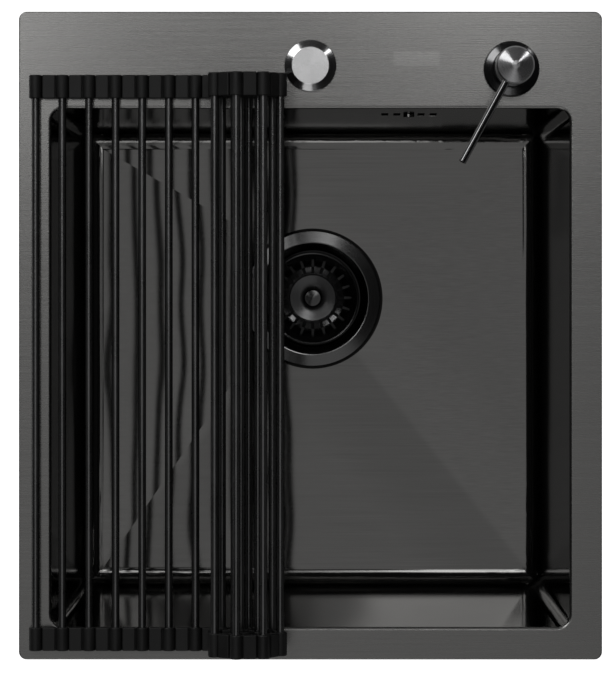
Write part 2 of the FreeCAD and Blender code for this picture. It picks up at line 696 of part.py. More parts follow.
spring = new_body("pump_spring")
wire = new_sketch(spring, "XZ_Plane", "spring_wire")
circle(wire, "spring_radius", "0", "0.5*spring_wire")
coil = spring.newObject("PartDesign::AdditiveHelix", "spring_coil")
coil.Profile = wire
coil.ReferenceAxis = (wire, ["V_Axis"])
coil.Mode = "pitch-height-angle"
bind(coil, "Pitch", "spring_pitch")
bind(coil, "Height", "pump_depth + stem_foot - spring_wire")
place(spring, SOAP_X, SOAP_Y, DECK_TOP + " - pump_depth + 0.5*spring_wire")
nodes.append(spring)

head_blank = soap_turned("head_blank", [
    ("0", "head_rise + 8"), ("5.05", "head_rise + 8"), ("5.05", "head_rise"),
    ("head_radius - 1", "head_rise"), ("head_radius", "head_rise + 1"),
    ("head_radius", "head_rise + 21.5"), ("head_radius - 1", "head_rise + 22.8"),
    ("3", "head_rise + 26.6"), ("0", "head_rise + 27")])
spout_turn = about((0, 0, 1), math.degrees(math.atan2(-0.876, -0.483))) * about((0, 1, 0), 80)
SPOUT = DECK_TOP + " + head_rise + 15"
spout_start = Vector(-0.483, -0.876, 0.176) * 9.0
spout_x, spout_y = SOAP_X + " - %.3f" % -spout_start.x, SOAP_Y + " - %.3f" % -spout_start.y
SPOUT_FOOT = SPOUT + " + %.3f" % spout_start.z
socket = rod("spout_socket", "spout_radius", "20", spout_x, spout_y, SPOUT_FOOT, spout_turn)
nodes.append(less("pump_head", head_blank, [socket]))
tube = rod("spout_wall", "spout_radius", "spout_reach + 2", spout_x, spout_y, SPOUT_FOOT, spout_turn)
tube_bore = rod(
    "spout_bore", "spout_radius - 0.8", "spout_reach + 4", spout_x, spout_y, SPOUT_FOOT, spout_turn)
nodes.append(less("spout", tube, [tube_bore]))

# Roll-up mat: tubes lie flat as far as the tap-hole cover, nine more are wound into the roll
FLAT_TUBES = 1 + int(number("0.5*deck_width - mat_setback - mat_roll_space") / sizes["mat_pitch"])
FIRST_LINK = 10
LINK_HEADINGS = [25, 72, 128, 172, 215, 268, 345, 408, 510]
TUBE_Z = DECK_TOP + " + lobe_radius + 0.3"
TUBE_SPAN = MAT_LENGTH + " - 4"


def mat_tube(name, x, z):
    outer = rod(name + "_outer", "tube_radius", TUBE_SPAN, x, MAT_FRONT + " + 2", z, ALONG_Y)
    inner = rod(name + "_inner", "tube_radius - tube_wall", TUBE_SPAN, x, MAT_FRONT + " + 2", z, ALONG_Y)
    return less(name, outer, [inner])


flat_tubes = []
strip_pieces = []
strip_holes = []
for k in range(FLAT_TUBES):
    x = MAT_FIRST_X + " + %d*mat_pitch" % k
    flat_tubes.append(mat_tube("flat_tube_%d" % (k + 1), x, TUBE_Z))
    strip_pieces.append(
        rod("flat_lobe_%d" % (k + 1), "lobe_radius", MAT_LENGTH, x, MAT_FRONT, TUBE_Z, ALONG_Y))
    strip_holes.append(
        rod("flat_hole_%d" % (k + 1), "tube_radius", TUBE_SPAN, x, MAT_FRONT + " + 2", TUBE_Z, ALONG_Y))
    if k:
        strip_pieces.append(box(
            "flat_block_%d" % k, x + " - 0.5*mat_pitch - 0.5*block_length", MAT_FRONT,
            TUBE_Z + " - 0.5*block_height", "block_length", MAT_LENGTH, "block_height"))
strip_pieces.append(box(
    "flat_web", MAT_FIRST_X, MAT_FRONT, TUBE_Z + " - 1.2", "%d*mat_pitch" % (FLAT_TUBES - 1),
    MAT_LENGTH, "2.4"))
nodes.append(group("mat_flat_tubes", flat_tubes))
strip_stock = less("strip_stock", joined("strip_run", strip_pieces), strip_holes)
for side, y in (("front", MAT_FRONT), ("back", "0.5*deck_depth - mat_back_gap - strip_width")):
    reach = box(
        "strip_reach_" + side, MAT_FIRST_X + " - 20", y, DECK_TOP, "%d*mat_pitch + 40" % (FLAT_TUBES - 1),
        "strip_width", "20")
    nodes.append(common("mat_strip_" + side, strip_stock, reach))

reach_x = FLAT_TUBES - 1.0
reach_z = 0.0
for link, heading in enumerate(LINK_HEADINGS, start=FIRST_LINK):
    hinge_x = MAT_FIRST_X + " + %.6f*mat_pitch" % reach_x
    hinge_z = TUBE_Z + " + %.6f*mat_pitch" % reach_z
    reach_x += math.cos(math.radians(heading))
    reach_z += math.sin(math.radians(heading))
    nodes.append(mat_tube(
        "mat_tube_%d" % link, MAT_FIRST_X + " + %.6f*mat_pitch" % reach_x,
        TUBE_Z + " + %.6f*mat_pitch" % reach_z))
    blank = [
        rod("lobe_%d" % link, "lobe_radius", MAT_LENGTH, "mat_pitch", MAT_FRONT, "0", ALONG_Y),
        box("block_%d" % link, "0.5*mat_pitch - 0.5*block_length", MAT_FRONT, "- 0.5*block_height",
            "block_length", MAT_LENGTH, "block_height"),
        box("web_%d" % link, "0.5*mat_pitch", MAT_FRONT, "- 1.2", "0.5*mat_pitch", MAT_LENGTH, "2.4"),
    ]
    clear = [
        box("between_%d" % link, "- mat_pitch", MAT_FRONT + " + strip_width", "- 20",
            "3*mat_pitch", MAT_LENGTH + " - 2*strip_width", "40"),
        rod("seat_%d" % link, "lobe_radius + 0.3", MAT_LENGTH, "0", MAT_FRONT, "0", ALONG_Y),
        rod("bore_%d" % link, "tube_radius", TUBE_SPAN, "mat_pitch", MAT_FRONT + " + 2", "0", ALONG_Y),
    ]
    silicone = less("mat_link_%d" % link, joined("link_blank_%d" % link, blank), clear)
    place(silicone, hinge_x, "0", hinge_z, about((0, 1, 0), -heading))
    nodes.append(silicone)

doc.recompute()

# Every object must be sound before the parts are written
faults = [o.Name for o in doc.Objects if "Invalid" in o.State or "Error" in o.State]
if faults:
    raise RuntimeError("objects in error: " + ", ".join(faults))
os.makedirs("parts", exist_ok=True)
for node in nodes:
    shape = node.Shape
    if shape.isNull() or not shape.isValid() or not shape.Solids:
        raise RuntimeError("unsound part: " + node.Label)
    shape.exportStep("parts/%s.step" % node.Label)
    low, high = shape.BoundBox.ZMin, shape.BoundBox.ZMax
    print("%s: %d solids, %.0f mm3, z %.1f to %.1f" % (
        node.Label, len(shape.Solids), shape.Volume, low, high))
print(len(nodes), "parts written")
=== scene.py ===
# %% [markdown]
# # A kitchen sink, dressed for its portrait
# The solids of this sink were drawn in CAD and packed with their joints as one model. This lesson gives
# each solid its finish, makes the soft and springy pieces again in Blender, and looks straight down at the
# result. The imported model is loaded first. Its sizes could be typed in by hand, but boxes and joints that
# are measured keep every later piece in its place when a size of the sink changes.

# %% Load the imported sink
import json
import math
import bpy
import bmesh
from mathutils import Matrix, Vector


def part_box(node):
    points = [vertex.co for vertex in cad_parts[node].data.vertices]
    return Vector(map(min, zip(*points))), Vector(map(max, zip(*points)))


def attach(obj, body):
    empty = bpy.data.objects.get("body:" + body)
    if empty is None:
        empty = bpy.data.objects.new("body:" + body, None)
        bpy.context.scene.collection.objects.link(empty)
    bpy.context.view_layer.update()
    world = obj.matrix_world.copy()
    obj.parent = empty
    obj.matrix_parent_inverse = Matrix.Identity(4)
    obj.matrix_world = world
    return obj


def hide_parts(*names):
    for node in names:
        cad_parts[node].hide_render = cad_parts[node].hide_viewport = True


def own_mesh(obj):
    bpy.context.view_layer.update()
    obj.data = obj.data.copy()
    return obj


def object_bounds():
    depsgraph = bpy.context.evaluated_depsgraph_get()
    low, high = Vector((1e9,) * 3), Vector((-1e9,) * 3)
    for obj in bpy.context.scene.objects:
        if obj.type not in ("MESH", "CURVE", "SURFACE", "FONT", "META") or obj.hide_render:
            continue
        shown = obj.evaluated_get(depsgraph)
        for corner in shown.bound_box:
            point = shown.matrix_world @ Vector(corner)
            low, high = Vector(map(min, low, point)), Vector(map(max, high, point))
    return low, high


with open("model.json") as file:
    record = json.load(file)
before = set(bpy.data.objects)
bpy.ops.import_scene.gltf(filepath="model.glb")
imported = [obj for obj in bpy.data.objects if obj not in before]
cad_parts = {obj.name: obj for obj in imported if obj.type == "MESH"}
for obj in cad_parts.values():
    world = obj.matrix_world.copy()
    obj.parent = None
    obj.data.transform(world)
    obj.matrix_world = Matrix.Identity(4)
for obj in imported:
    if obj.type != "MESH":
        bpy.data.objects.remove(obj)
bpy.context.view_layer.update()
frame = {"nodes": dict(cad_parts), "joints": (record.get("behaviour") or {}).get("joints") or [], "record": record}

nodes = frame["nodes"]


# %% [markdown]
# ## Helpers for node trees
# The finishes and the repeating shapes below are all node trees. They could be drawn by hand in the node
# editor, but a script keeps every value readable and builds the same tree each time. One helper adds a node
# and fills its inputs: a plain value is set, and the output of another node is linked.

# %% Add a node
def add(tree, kind, inputs=None, **settings):
    node = tree.nodes.new(kind)
    for name, value in settings.items():
        setattr(node, name, value)
    for socket, value in (inputs or {}).items():
        if isinstance(value, bpy.types.NodeSocket):
            tree.links.new(value, node.inputs[socket])
        else:
            node.inputs[socket].default_value = value
    return node


print("helper: add")


# %% [markdown]
# Most of a tree is plain sums. Each could be added with the helper above, but a short name for the sums
# used most leaves only the values to read. Every one of these gives back an output, ready to be an input of
# the next node.

# %% Sums
def number(tree, operation, *values):
    node = add(tree, "ShaderNodeMath", dict(enumerate(values)), operation=operation)
    return node.outputs["Value"]


def vector(tree, operation, *values):
    node = add(tree, "ShaderNodeVectorMath", dict(enumerate(values)), operation=operation)
    return node.outputs["Value" if operation in ("LENGTH", "DOT_PRODUCT") else "Vector"]


def split(tree, value):
    return add(tree, "ShaderNodeSeparateXYZ", {"Vector": value}).outputs


def combine(tree, x=0.0, y=0.0, z=0.0):
    return add(tree, "ShaderNodeCombineXYZ", {"X": x, "Y": y, "Z": z}).outputs["Vector"]


def remap(tree, value, low, high, start=0.0, end=1.0):
    inputs = {"Value": value, "From Min": start, "From Max": end, "To Min": low, "To Max": high}
    return add(tree, "ShaderNodeMapRange", inputs).outputs["Result"]


def noise(tree, inputs, **settings):
    return add(tree, "ShaderNodeTexNoise", inputs, **settings).outputs["Fac"]


print("helpers: number, vector, split, combine, remap, noise")

# %% [markdown]
# An effect that several finishes share is worth a group. A group has named sockets, so each material can
# place it with its own values, and a mend to the group reaches every finish at once. Two helpers open and
# close one.

# %% Group helpers
FLOAT = "NodeSocketFloat"
VECTOR = "NodeSocketVector"
ORIGIN = (0.0, 0.0, 0.0)


def new_group(kind, name, inputs, outputs):
    tree = bpy.data.node_groups.new(name, kind)
    for title, socket, default in inputs:
        made = tree.interface.new_socket(title, in_out="INPUT", socket_type=socket)
        if default is not None:
            made.default_value = default
    for title, socket in outputs:
        tree.interface.new_socket(title, in_out="OUTPUT", socket_type=socket)
    return tree, tree.nodes.new("NodeGroupInput").outputs


def close_group(tree, results):
    add(tree, "NodeGroupOutput", results)
    print("group:", tree.name, "gives", ", ".join(results))


print("helpers: new_group, close_group")

# %% [markdown]
# ## Effects shared by several finishes
# Brushed sheet is covered in fine parallel scratches. A picture of scratches would need unwrapping and
# would repeat, so noise makes them instead: its coordinates are squeezed across the brushing and stretched
# along it. The density is the number of scratches per metre on each axis. A second, broad noise serves for
# the waves of thin sheet.

# %% Brushed grain group
grain, given = new_group(
    "ShaderNodeTree", "brushed_grain",
    [("Vector", VECTOR, ORIGIN), ("Density", VECTOR, (12.0, 1400.0, 1400.0))],
    [("Streaks", FLOAT), ("Cloud", FLOAT)])
squeezed = vector(grain, "MULTIPLY", given["Vector"], given["Density"])
fine = noise(grain, {"Vector": squeezed, "Scale": 1.0, "Detail": 3.0, "Roughness": 0.65})
broad = noise(grain, {"Vector": given["Vector"], "Scale": 7.0, "Detail": 1.0, "Roughness": 0.45})
close_group(grain, {"Streaks": fine, "Cloud": broad})

# %% [markdown]
# Turned pieces are brushed on a lathe, so their scratches are rings. Ring textures have even bands, and
# real cuts are uneven, so a noise with a single coordinate is used: the distance from the lathe axis plus
# the height. The group also gives that distance, the way outwards and the offset from the axis, for marks
# that go round a piece.

# %% Lathe rings group
rings, given = new_group(
    "ShaderNodeTree", "lathe_rings",
    [("Vector", VECTOR, ORIGIN), ("Axis point", VECTOR, ORIGIN), ("Density", FLOAT, 2600.0)],
    [("Rings", FLOAT), ("Outward", VECTOR), ("Offset", VECTOR), ("Reach", FLOAT)])
from_axis = vector(rings, "SUBTRACT", given["Vector"], given["Axis point"])
level_offset = vector(rings, "MULTIPLY", from_axis, (1.0, 1.0, 0.0))
axis_reach = vector(rings, "LENGTH", level_offset)
tool_path = number(rings, "ADD", axis_reach, split(rings, from_axis)["Z"])
cuts = number(rings, "MULTIPLY", tool_path, given["Density"])
uneven = noise(rings, {"W": cuts, "Scale": 1.0, "Detail": 2.0}, noise_dimensions="1D")
close_group(rings, {
    "Rings": uneven, "Outward": vector(rings, "NORMALIZE", level_offset), "Offset": level_offset,
    "Reach": axis_reach})

# %% [markdown]
# Moulded plastic, rubber and silicone are never quite even: the mould leaves a fine pebble, and a film of
# dust dulls the surface in patches. One noise could not be both fine and broad, so the group has two, a
# height and a mask.

# %% Moulded skin group
skin, given = new_group(
    "ShaderNodeTree", "moulded_skin",
    [("Vector", VECTOR, ORIGIN), ("Pebble", FLOAT, 1800.0), ("Patch", FLOAT, 30.0)],
    [("Height", FLOAT), ("Dust", FLOAT)])
pebbled = noise(skin, {"Vector": given["Vector"], "Scale": given["Pebble"], "Detail": 2.0, "Roughness": 0.6})
patchy = noise(skin, {"Vector": given["Vector"], "Scale": given["Patch"], "Detail": 4.0, "Roughness": 0.6})
close_group(skin, {"Height": pebbled, "Dust": patchy})

# %% [markdown]
# Some finishes change at a line on the piece. The mesh could be cut there and given two materials, but the
# solids have to stay as they are. The window group is 1 inside an upright box of space and 0 outside it, so
# a material can tell one stretch of a solid from the rest.

# %% Window group
window, given = new_group(
    "ShaderNodeTree", "window",
    [("Vector", VECTOR, ORIGIN), ("Centre", VECTOR, ORIGIN), ("Half size", VECTOR, (1.0, 1.0, 1.0))],
    [("Mask", FLOAT)])
distance = vector(window, "ABSOLUTE", vector(window, "SUBTRACT", given["Vector"], given["Centre"]))
room_left = split(window, vector(window, "SUBTRACT", given["Half size"], distance))
least_room = number(
    window, "MINIMUM", number(window, "MINIMUM", room_left["X"], room_left["Y"]), room_left["Z"])
close_group(window, {"Mask": number(window, "GREATER_THAN", least_room, 0.0)})

# %% [markdown]
# The floor of the bowl falls to the drain in four flat fields. Where two of them meet in front of the drain
# the two fields catch the light differently, so the line is painted darker on one side and lighter on the other.
# The soft line is too shallow to model, so this group folds left onto right, measures how far a point is from the
# line, and lets a curve turn that into a painted shade near 1.

# %% Press line shading group
# Painted shading: the curve makes one side of the line darker and the other lighter, as the two fields catch the
# light.
HALF_BAND = 0.07
EVEN = 0.5
DARK_SIDE = (0.47, 0.05)
LIGHT_SIDE = (0.53, 0.85)
LINE_SHADES = (0.90, 1.10)
press, given = new_group(
    "ShaderNodeTree", "press_line_shading",
    [("Offset", VECTOR, ORIGIN), ("Across", VECTOR, ORIGIN)],
    [("Shade", FLOAT)])
folded = combine(
    press, split(press, vector(press, "ABSOLUTE", given["Offset"]))["X"], split(press, given["Offset"])["Y"])
aside = vector(press, "DOT_PRODUCT", folded, given["Across"])
tone = add(press, "ShaderNodeFloatCurve", {"Value": remap(press, aside, 0.0, 1.0, -HALF_BAND, HALF_BAND)})
tone_points = tone.mapping.curves[0].points
for side_point in (DARK_SIDE, LIGHT_SIDE):
    tone_points.new(*side_point)
tone_points[0].location = (0.0, EVEN)
tone_points[-1].location = (1.0, EVEN)
tone.mapping.update()
close_group(press, {"Shade": remap(press, tone.outputs["Value"], *LINE_SHADES)})


# %% [markdown]
# ## Starting a material
# Each finish is one Principled shader. Values that are the same all over a piece are set on the shader
# itself, and only what changes over the surface is wired: the colour, the roughness and the bump. Object
# coordinates are used because every piece keeps its place in its mesh, so a pattern stays where it was put
# when the piece moves.

# %% Material helpers
NOISE_SPAN = (0.3, 0.7)


def start_material(name, **values):
    material = bpy.data.materials.new(name)
    material.use_nodes = True
    tree = material.node_tree
    shader = tree.nodes["Principled BSDF"]
    for socket, value in values.items():
        shader.inputs[socket.replace("_", " ")].default_value = value
    return material, tree, shader, add(tree, "ShaderNodeTexCoord").outputs["Object"]


def plug(tree, shader, colour, roughness, normal):
    for socket, value in (("Base Color", colour), ("Roughness", roughness), ("Normal", normal)):
        tree.links.new(value, shader.inputs[socket])


def effect(tree, group, inputs):
    return add(tree, "ShaderNodeGroup", inputs, node_tree=group).outputs


def between(tree, mask, low, high):
    return remap(tree, mask, low, high, *NOISE_SPAN)


print("helpers: start_material, plug, effect, between")


# %% [markdown]
# Three small recipes come back in every finish. A ramp turns a noise into two shades of one colour. A tint
# darkens or lightens a colour by a factor. A bump leans the light without adding faces, which suits
# scratches far finer than any mesh.

# %% Shade, tint and bump
FINE_DEPTH = 0.0001


def shade(tree, mask, dark, light):
    ramp = add(tree, "ShaderNodeValToRGB", {"Fac": mask})
    for stop, position, colour in zip(ramp.color_ramp.elements, NOISE_SPAN, (dark, light)):
        stop.position = position
        stop.color = (*colour, 1.0)
    return ramp.outputs["Color"]


def tinted(tree, colour, factor):
    scaled = add(tree, "ShaderNodeVectorMath", {0: colour, "Scale": factor}, operation="SCALE")
    return scaled.outputs["Vector"]


def bump(tree, height, strength, depth, under=None):
    inputs = {"Height": height, "Strength": strength, "Distance": depth}
    if under is not None:
        inputs["Normal"] = under
    return add(tree, "ShaderNodeBump", inputs).outputs["Normal"]


print("fine bumps are", FINE_DEPTH * 1000, "mm deep")


# %% [markdown]
# ## Graphite sheet
# The deck and the bowl are steel sheet with a thin dark coating over the brushing. On the deck the brushing
# runs left to right. Inside the bowl each wall is brushed along its own length, so the side walls need the
# scratches turned. Two materials would meet in a hard edge at the corners of one solid, so the surface's
# own direction picks between the two brushings, and it also tells the level floor from the walls.

# %% Brushing that follows the walls
ACROSS = (14.0, 2100.0, 2100.0)
ALONG = (2100.0, 14.0, 2100.0)
SIDEWAYS = 0.6
LEVEL = 0.98


def pick(tree, choice, first, second):
    return add(tree, "ShaderNodeMix", {0: choice, 2: first, 3: second}).outputs[0]


def brushing(tree, where):
    across = effect(tree, grain, {"Vector": where, "Density": ACROSS})
    along = effect(tree, grain, {"Vector": where, "Density": ALONG})
    facing = split(tree, add(tree, "ShaderNodeNewGeometry").outputs["True Normal"])
    side_wall = number(tree, "GREATER_THAN", number(tree, "ABSOLUTE", facing["X"]), SIDEWAYS)
    level = number(tree, "GREATER_THAN", facing["Z"], LEVEL)
    return pick(tree, side_wall, across["Streaks"], along["Streaks"]), across["Cloud"], level


print("brushing: scratches per metre", ACROSS[1])


# %% [markdown]
# The sheet carries three marks: a small lighter rectangle at the back of the deck, a painted shade in the thin gap
# round the strainer's flange, and the painted light and shade of the press line on the floor. Each is a function
# that takes a colour and gives it back changed, so a finish can name the marks it has. Their places are worked out
# from the boxes of the solids.

# %% Measure the marks
PATCH_RIGHT = 0.082
PATCH_FROM_BACK = 0.0362
GAP_OUTSIDE = 0.0008
WALL_LEAN = 0.012


def middle(node):
    low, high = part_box(node)
    return (low + high) / 2


patch_centre = (PATCH_RIGHT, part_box("sink_deck")[1].y - PATCH_FROM_BACK, 0.0)
drain_axis = Vector((middle("strainer_cup").x, middle("strainer_cup").y, 0.0))
gap_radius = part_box("strainer_cup")[1].x - drain_axis.x + GAP_OUTSIDE
bowl_low, bowl_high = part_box("sink_bowl")
floor_corner = Vector((bowl_high.x - WALL_LEAN, bowl_low.y + WALL_LEAN, 0.0))
to_corner = (floor_corner - drain_axis).normalized()
line_across = (-to_corner.y, to_corner.x, 0.0)
print("gap radius", round(gap_radius, 4), "press line across", [round(v, 3) for v in line_across])


# %% Marks on the sheet
PATCH_HALF = (0.0177, 0.0055, 0.05)
PATCH_TINT = 1.18
GAP_HALF = 0.0011
GAP_SHADE_TINT = 0.06


def lighter_patch(tree, where, level, colour):
    patch = effect(tree, window, {"Vector": where, "Centre": patch_centre, "Half size": PATCH_HALF})
    return tinted(tree, colour, remap(tree, patch["Mask"], 1.0, PATCH_TINT))


# Painted shade: a thin ring of the floor round the strainer's flange is darkened where the gap between them lies
# in shade.
def drain_gap_shade(tree, where, level, colour):
    drain = effect(tree, rings, {"Vector": where, "Axis point": drain_axis})
    gap = number(tree, "COMPARE", drain["Reach"], gap_radius, GAP_HALF)
    return tinted(tree, colour, remap(tree, gap, 1.0, GAP_SHADE_TINT))


# Painted shading of the press line, on the level floor only.
def floor_line_shading(tree, where, level, colour):
    drain = effect(tree, rings, {"Vector": where, "Axis point": drain_axis})
    line = effect(tree, press, {"Offset": drain["Offset"], "Across": line_across})
    return tinted(tree, colour, pick(tree, level, 1.0, line["Shade"]))


print("marks: lighter patch, drain gap, floor line")


# %% [markdown]
# The recipe for the sheet puts these together. The bowl's floor is polished more than its walls and swells
# in slow waves, which is why the tubes of the mat look wavy in it. The edge value is the tint at a grazing
# view: a value below 1 keeps the steep walls as dark as coated steel is.

# %% Deck and bowl finishes
ROUGH_SPREAD = (0.85, 1.2)
WALL_WAVE = 0.3
SCRATCH = 0.04


def graphite_sheet(name, dark, light, rough, floor_rough, wave, edge, marks):
    material, tree, shader, where = start_material(name, Metallic=1.0, Specular_Tint=(edge, edge, edge, 1.0))
    streaks, cloud, level = brushing(tree, where)
    colour = shade(tree, streaks, dark, light)
    for mark in marks:
        colour = mark(tree, where, level, colour)
    polish = remap(tree, level, rough, floor_rough)
    roughness = number(tree, "MULTIPLY", polish, between(tree, streaks, *ROUGH_SPREAD))
    swell = bump(tree, cloud, remap(tree, level, WALL_WAVE, 1.0), wave)
    plug(tree, shader, colour, roughness, bump(tree, streaks, SCRATCH, FINE_DEPTH, swell))
    return material


deck_finish = graphite_sheet(
    "graphite_deck", (0.227, 0.225, 0.220), (0.266, 0.263, 0.257), rough=0.25, floor_rough=0.25, wave=0.00004,
    edge=1.0, marks=[lighter_patch])
bowl_finish = graphite_sheet(
    "graphite_bowl", (0.183, 0.181, 0.177), (0.236, 0.233, 0.228), rough=0.10, floor_rough=0.055, wave=0.0022,
    edge=0.5, marks=[drain_gap_shade, floor_line_shading])
print("sheet finishes:", deck_finish.name, bowl_finish.name)


# %% [markdown]
# ## Turned metal
# The strainer, the tap-hole cover and the pump are turned on a lathe. They could each have a material drawn
# from scratch, but one recipe with different greys is easier to keep alike: rings round the piece's own
# axis, a polish, and shallow grooves. A normal that leans outwards makes a nearly flat top catch the light
# as a cone or a dome would.

# %% Leaning normal
def leaning_normal(tree, direction, amount):
    facing = add(tree, "ShaderNodeNewGeometry").outputs["Normal"]
    return vector(tree, "NORMALIZE", vector(tree, "ADD", facing, tinted(tree, direction, amount)))


print("helper: leaning_normal")

# %% [markdown]
# The recipe has three options for single pieces. The strainer gets a painted shade below a height, where little
# light comes in. The cover has a darker rim, which is polished more than its top. The knob and the collar have a
# leaning normal.

# %% Turned metal recipe
PAINTED_SHADE_TINT = 0.22
FAR = 1.0


def turned_metal(name, node, dark, light, rough, density=2600.0, groove=0.1, turning=0.4,
                 shade_below=None, rim=None, lean=None):
    axis = Vector((middle(node).x, middle(node).y, 0.0))
    material, tree, shader, where = start_material(
        name, Metallic=1.0, Anisotropic=turning, Anisotropic_Rotation=0.25)
    lathe = effect(tree, rings, {"Vector": where, "Axis point": axis, "Density": density})
    colour = shade(tree, lathe["Rings"], dark, light)
    roughness = between(tree, lathe["Rings"], *(rough * share for share in ROUGH_SPREAD))
    # Painted shade: below the given height the colour is darkened where little light reaches.
    if shade_below is not None:
        depths = {"Centre": (axis.x, axis.y, shade_below - FAR / 2), "Half size": (FAR, FAR, FAR / 2)}
        deep = effect(tree, window, {"Vector": where, **depths})
        colour = tinted(tree, colour, remap(tree, deep["Mask"], 1.0, PAINTED_SHADE_TINT))
    if rim is not None:
        outer = number(tree, "GREATER_THAN", lathe["Reach"], rim["radius"])
        colour = tinted(tree, colour, remap(tree, outer, 1.0, rim["tint"]))
        roughness = remap(tree, outer, rough, rim["rough"])
    under = None
    if lean is not None:
        direction, amount = lean
        under = leaning_normal(tree, lathe[direction], amount)
    plug(tree, shader, colour, roughness, bump(tree, lathe["Rings"], groove, FINE_DEPTH, under))
    return material


print("recipe: turned_metal")

# %% [markdown]
# The greys run from nearly black on the strainer to silver on the cover. The knob is domed, so its normal
# leans by the offset from the axis, more towards its edge. The collar is a shallow cone, so its normal
# leans by the same amount everywhere.

# %% Strainer, cover and pump finishes
# The strainer gets a painted shade from just below the top of its flange downwards.
FLANGE_EDGE = 0.003
cup_finish = turned_metal(
    "strainer_flange", "strainer_cup", (0.14, 0.14, 0.14), (0.175, 0.175, 0.175), rough=0.15, groove=0.04,
    shade_below=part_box("strainer_cup")[1].z - FLANGE_EDGE)
basket_finish = turned_metal("strainer_basket", "basket", (0.09, 0.09, 0.091), (0.13, 0.13, 0.131), rough=0.2)
knob_finish = turned_metal(
    "basket_knob", "basket_knob", (0.08, 0.08, 0.08), (0.11, 0.11, 0.11), rough=0.12, groove=0.03,
    turning=0.0, lean=("Offset", 6.0))
cover_finish = turned_metal(
    "polished_cover", "tap_hole_cover", (0.70, 0.70, 0.705), (0.80, 0.80, 0.805), rough=0.26, groove=0.03,
    rim={"radius": 0.0145, "tint": 0.6, "rough": 0.18})
head_finish = turned_metal(
    "pump_head", "pump_head", (0.39, 0.39, 0.395), (0.42, 0.42, 0.425), rough=0.26, density=12000.0,
    groove=0.01, turning=0.8)
collar_finish = turned_metal(
    "pump_collar", "dispenser_collar", (0.11, 0.11, 0.112), (0.145, 0.145, 0.147), rough=0.2, turning=0.5,
    lean=("Outward", 0.35))
turned_finishes = (cup_finish, basket_finish, knob_finish, cover_finish, head_finish, collar_finish)
print("turned finishes:", ", ".join(finish.name for finish in turned_finishes))


# %% [markdown]
# ## Moulded and coated pieces
# Black silicone, rubber, plastic, zinc plate and the lacquered mat tubes differ mostly in colour and gloss.
# They share one recipe built on the moulded skin group: the dust mask moves colour and roughness a little,
# and the pebble makes the bump. A plain colour would do from afar, but it looks like paint as soon as light
# glances along a piece.

# %% Moulded material
def moulded(name, dark, light, rough, spread=0.08, pebble=1800.0, raised=0.1, **values):
    material, tree, shader, where = start_material(name, **values)
    surface = effect(tree, skin, {"Vector": where, "Pebble": pebble})
    colour = shade(tree, surface["Dust"], dark, light)
    roughness = between(tree, surface["Dust"], rough - spread, rough + spread)
    plug(tree, shader, colour, roughness, bump(tree, surface["Height"], raised, FINE_DEPTH))
    return material


silicone_finish = moulded(
    "black_silicone", (0.006, 0.006, 0.006), (0.010, 0.010, 0.010), rough=0.5, Specular_IOR_Level=0.35)
rubber_finish = moulded("black_rubber", (0.012, 0.012, 0.012), (0.022, 0.022, 0.022), rough=0.62)
plastic_finish = moulded("black_plastic", (0.014, 0.014, 0.015), (0.024, 0.024, 0.025), rough=0.42)
white_finish = moulded("white_plastic", (0.70, 0.70, 0.69), (0.78, 0.78, 0.77), rough=0.38)
bottle_finish = moulded("bottle_plastic", (0.62, 0.65, 0.66), (0.72, 0.74, 0.75), rough=0.32)
print("moulded finishes: silicone, rubber, three plastics")

# %% [markdown]
# The mat's tubes, the spout and the zinc pieces are metal under a thin coat, so the same recipe gets a
# Metallic of 1. The sound pads and the foam seal are coarse, so their pebbles are larger and stand out
# more. Both kinds could have recipes of their own, but only these few values would differ.

# %% Coated tubes, pads and zinc
tube_finish = moulded(
    "coated_tube", (0.15, 0.15, 0.15), (0.18, 0.18, 0.18), rough=0.28, spread=0.03, raised=0.008,
    Metallic=1.0)
spout_finish = moulded(
    "pump_spout", (0.15, 0.15, 0.152), (0.18, 0.18, 0.182), rough=0.12, spread=0.02, raised=0.01,
    Metallic=1.0)
pad_finish = moulded(
    "sound_pad", (0.014, 0.014, 0.014), (0.03, 0.03, 0.03), rough=0.8, spread=0.1, pebble=500.0, raised=0.5)
foam_finish = moulded(
    "foam_seal", (0.02, 0.02, 0.02), (0.035, 0.035, 0.035), rough=0.85, spread=0.06, pebble=900.0, raised=0.5)
zinc_finish = moulded(
    "zinc_plate", (0.42, 0.43, 0.44), (0.60, 0.61, 0.62), rough=0.34, spread=0.1, pebble=700.0, raised=0.15,
    Metallic=1.0)
print("coated finishes: tubes, spout, pads, foam, zinc")

# %% [markdown]
# ## Giving each solid its finish
# A solid keeps its shape and only its material slot changes. All the names could be listed one by one, but
# the record already says what each piece is made of, so the finish follows that slot. A few pieces that are
# seen close up are picked out by name.

# %% Assign finishes
by_slot = {
    "graphite_sheet": bowl_finish, "bitumen_pad": pad_finish, "foam_seal": foam_finish,
    "zinc_steel": zinc_finish, "black_rubber": rubber_finish, "strainer_steel": cup_finish,
    "black_plastic": plastic_finish, "polished_cover": cover_finish, "graphite_fitting": collar_finish,
    "clear_plastic": bottle_finish, "white_plastic": white_finish, "black_tube": tube_finish,
    "silicone": silicone_finish,
}
by_node = {
    "sink_deck": deck_finish, "basket": basket_finish, "basket_knob": knob_finish,
    "pump_head": head_finish, "spout": spout_finish, "overflow_screw": bowl_finish,
}
for subpart in frame["record"]["subparts"]:
    slots = nodes[subpart["node"]].data.materials
    slots.clear()
    slots.append(by_node.get(subpart["node"], by_slot[subpart["material_slot"]]))
print("finished solids:", len(nodes))


# %% [markdown]
# ## Silicone strips of the mat
# The tubes of the drying mat end in silicone strips: a round lobe over each tube, a flat block between two
# tubes, and a thin web that joins them. An array modifier could repeat one shape, but not three that start
# at different places. A Geometry Nodes tree builds all of them from named sizes, and the same tree makes
# the links of the roll.

